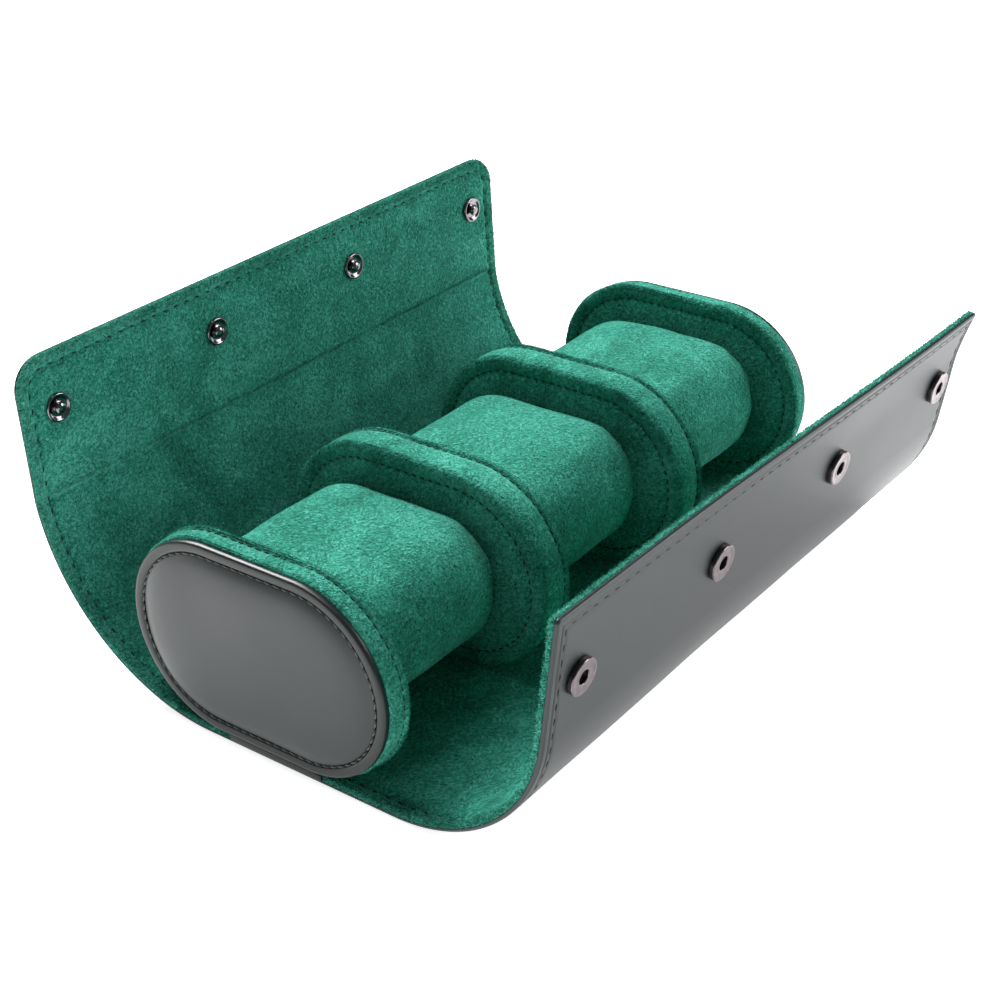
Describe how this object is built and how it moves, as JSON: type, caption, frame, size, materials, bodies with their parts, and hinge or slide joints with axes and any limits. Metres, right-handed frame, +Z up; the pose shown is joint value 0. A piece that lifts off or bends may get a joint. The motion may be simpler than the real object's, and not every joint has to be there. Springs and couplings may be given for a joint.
{
  "type": "watch travel roll",
  "caption": "Snap-closed watch roll: a padded core with end discs, dividers and lift-out pillows on a two-flap suede-lined leather wrap.",
  "frame": {"origin": "middle of the flat base's underside, halfway between the end discs", "axes": "+X along the roll, +Y from the flap with the sockets towards the flap with the studs, +Z up"},
  "size_m": [0.24, 0.2047, 0.1071],
  "materials": {
    "leather": "smooth satin dark grey-green leather",
    "suede": "green microsuede with a short nap",
    "dark_suede": "green microsuede, darker nap",
    "foam": "padding foam",
    "board": "grey stiffening board",
    "gunmetal": "gunmetal plated snap brass",
    "spring_steel": "spring wire"
  },
  "bodies": {
    "base": {"base_leather": "leather", "base_board": "board", "base_lining": "suede", "end_tab_left": "leather", "end_tab_right": "leather", "cap_leather_left": "leather", "cap_leather_right": "leather", "cap_piping_left": "leather", "cap_piping_right": "leather", "cap_pad_left": "foam", "cap_pad_right": "foam", "cap_board_left": "board", "cap_board_right": "board", "cap_foam_left": "foam", "cap_foam_right": "foam", "cap_suede_left": "suede", "cap_suede_right": "suede", "divider_suede_left": "dark_suede", "divider_suede_right": "dark_suede", "divider_foam_left": "foam", "divider_foam_right": "foam"},
    "front_fold_1": {"front_leather_1": "leather", "front_lining_1": "suede"},
    "front_fold_2": {"front_leather_2": "leather", "front_lining_2": "suede"},
    "front_fold_3": {"front_leather_3": "leather", "front_lining_3": "suede"},
    "front_fold_4": {"front_leather_4": "leather", "front_lining_4": "suede"},
    "front_fold_5": {"front_leather_5": "leather", "front_lining_5": "suede"},
    "front_panel": {"front_panel_leather": "leather", "front_panel_board": "board", "front_panel_lining": "suede", "snap_sockets": "gunmetal", "snap_springs": "spring_steel", "snap_socket_rivets": "gunmetal"},
    "back_fold_1": {"back_leather_1": "leather", "back_lining_1": "suede"},
    "back_fold_2": {"back_leather_2": "leather", "back_lining_2": "suede"},
    "back_fold_3": {"back_leather_3": "leather", "back_lining_3": "suede"},
    "back_fold_4": {"back_leather_4": "leather", "back_lining_4": "suede"},
    "back_panel": {"back_panel_leather": "leather", "back_panel_board": "board", "back_panel_lining": "suede", "snap_studs": "gunmetal", "snap_caps": "gunmetal"},
    "pillow_left": {"pillow_suede_left": "suede", "pillow_foam_left": "foam"},
    "pillow_middle": {"pillow_suede_middle": "suede", "pillow_foam_middle": "foam"},
    "pillow_right": {"pillow_suede_right": "suede", "pillow_foam_right": "foam"}
  },
  "joints": [
    {"name": "front_wrap_close", "type": "hinge", "parent": "base", "child": "front_fold_1", "pos_m": [0, -0.025, 0.0015], "axis": [1, 0, 0], "range_deg": [-22.5, 0]},
    {"name": "front_fold_turn_2", "type": "hinge", "parent": "front_fold_1", "child": "front_fold_2", "pos_m": [0, -0.037, 0.0015], "axis": [1, 0, 0], "range_deg": [-20.01, 0]},
    {"name": "front_fold_turn_3", "type": "hinge", "parent": "front_fold_2", "child": "front_fold_3", "pos_m": [0, -0.049, 0.0015], "axis": [1, 0, 0], "range_deg": [-17.01, 0]},
    {"name": "front_flap_swing", "type": "hinge", "parent": "front_fold_3", "child": "front_fold_4", "pos_m": [0, -0.07347, 0.00745], "axis": [1, 0, 0], "range_deg": [-15, 29.22]},
    {"name": "front_fold_turn_5", "type": "hinge", "parent": "front_fold_4", "child": "front_fold_5", "pos_m": [0, -0.09248, 0.02397], "axis": [1, 0, 0], "range_deg": [-16.01, 31.18]},
    {"name": "front_fold_turn_6", "type": "hinge", "parent": "front_fold_5", "child": "front_panel", "pos_m": [0, -0.10178, 0.04738], "axis": [1, 0, 0], "range_deg": [-7.51, 14.62]},
    {"name": "back_wrap_close", "type": "hinge", "parent": "base", "child": "back_fold_1", "pos_m": [0, 0.025, 0.0015], "axis": [-1, 0, 0], "range_deg": [-20, 0]},
    {"name": "back_flap_swing", "type": "hinge", "parent": "back_fold_1", "child": "back_fold_2", "pos_m": [0, 0.04864, 0.00577], "axis": [-1, 0, 0], "range_deg": [-20.5, 23.06]},
    {"name": "back_fold_turn_3", "type": "hinge", "parent": "back_fold_2", "child": "back_fold_3", "pos_m": [0, 0.06928, 0.01806], "axis": [-1, 0, 0], "range_deg": [-20.01, 22.51]},
    {"name": "back_fold_turn_4", "type": "hinge", "parent": "back_fold_3", "child": "back_fold_4", "pos_m": [0, 0.08432, 0.03679], "axis": [-1, 0, 0], "range_deg": [-2.13, 2.39]},
    {"name": "back_fold_turn_5", "type": "hinge", "parent": "back_fold_4", "child": "back_panel", "pos_m": [0, 0.09184, 0.05961], "axis": [-1, 0, 0], "range_deg": [-29.39, 33.06]},
    {"name": "pillow_left_lift", "type": "slide", "parent": "base", "child": "pillow_left", "axis": [0, 0, 1], "range_m": [0, 0.06]},
    {"name": "pillow_middle_lift", "type": "slide", "parent": "base", "child": "pillow_middle", "axis": [0, 0, 1], "range_m": [0, 0.06]},
    {"name": "pillow_right_lift", "type": "slide", "parent": "base", "child": "pillow_right", "axis": [0, 0, 1], "range_m": [0, 0.06]}
  ],
  "couplings": [
    {"joint": "front_fold_turn_2", "follows": "front_wrap_close", "ratio": 0.88889},
    {"joint": "front_fold_turn_3", "follows": "front_wrap_close", "ratio": 0.75556},
    {"joint": "front_fold_turn_5", "follows": "front_flap_swing", "ratio": 1.0667},
    {"joint": "front_fold_turn_6", "follows": "front_flap_swing", "ratio": 0.5},
    {"joint": "back_fold_turn_3", "follows": "back_flap_swing", "ratio": 0.97561},
    {"joint": "back_fold_turn_4", "follows": "back_flap_swing", "ratio": 0.10331},
    {"joint": "back_fold_turn_5", "follows": "back_flap_swing", "ratio": 1.4333}
  ]
}
